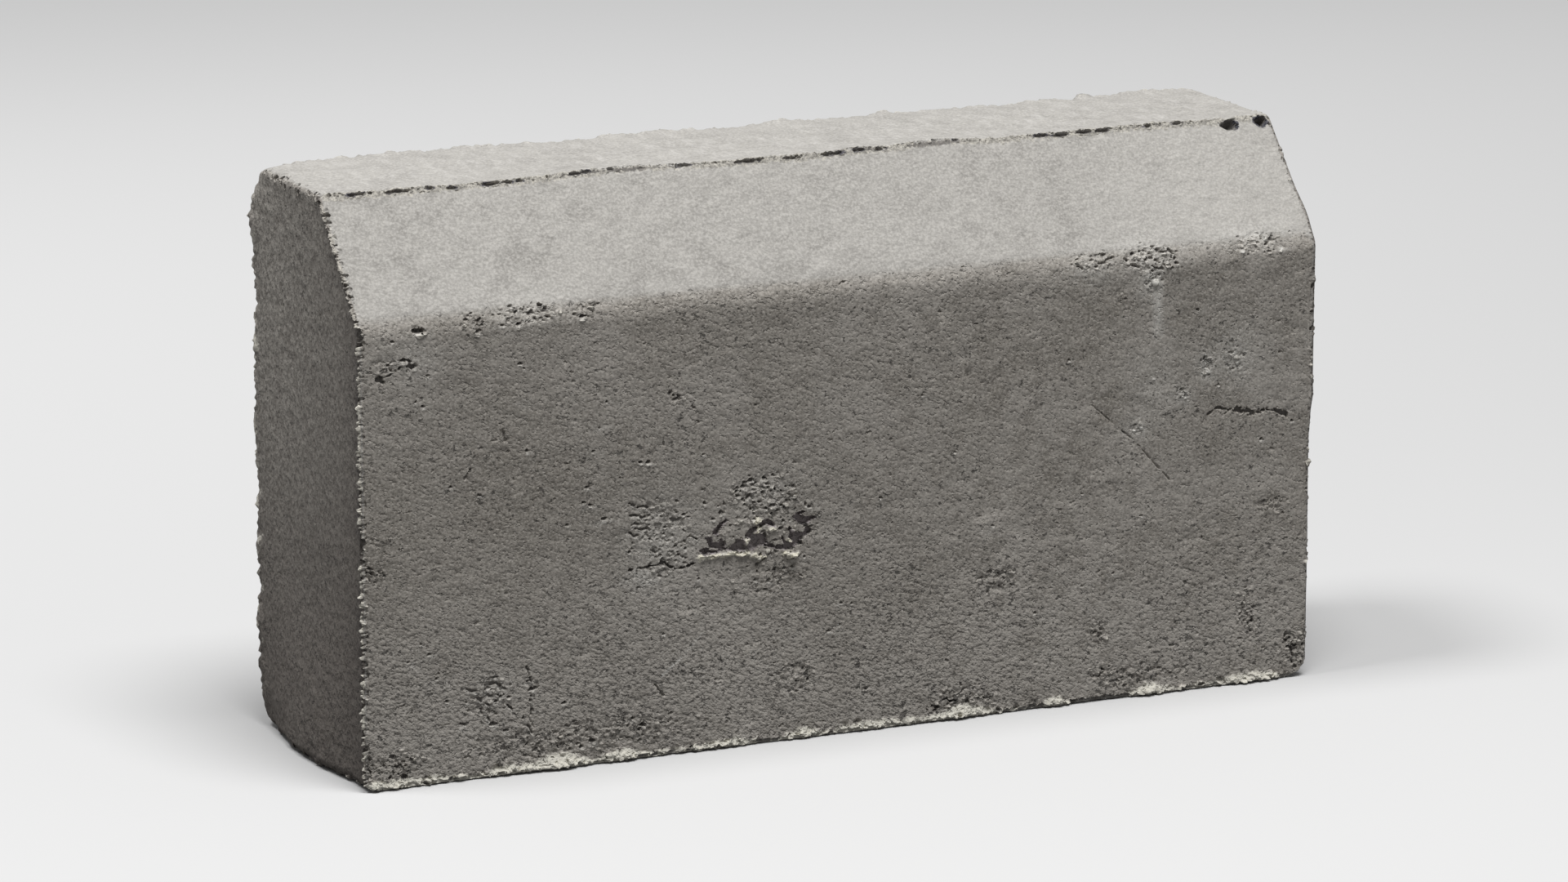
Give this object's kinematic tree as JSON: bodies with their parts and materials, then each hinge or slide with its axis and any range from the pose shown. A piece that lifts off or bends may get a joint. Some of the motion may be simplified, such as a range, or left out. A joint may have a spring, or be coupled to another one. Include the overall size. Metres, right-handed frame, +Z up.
{
  "type": "kerb stone",
  "caption": "Half-length concrete kerb stone with a splayed upper front edge, flat base, back and ends.",
  "frame": {"origin": "middle of the flat base", "axes": "+X along the kerb to the right as seen from the road, +Y from the front face to the back face, +Z up"},
  "size_m": [0.4622, 0.1285, 0.25],
  "materials": {
    "concrete": "rough grey cast concrete, sandy and pitted"
  },
  "bodies": {
    "root": {"kerb_stone": "concrete"}
  },
  "joints": []
}
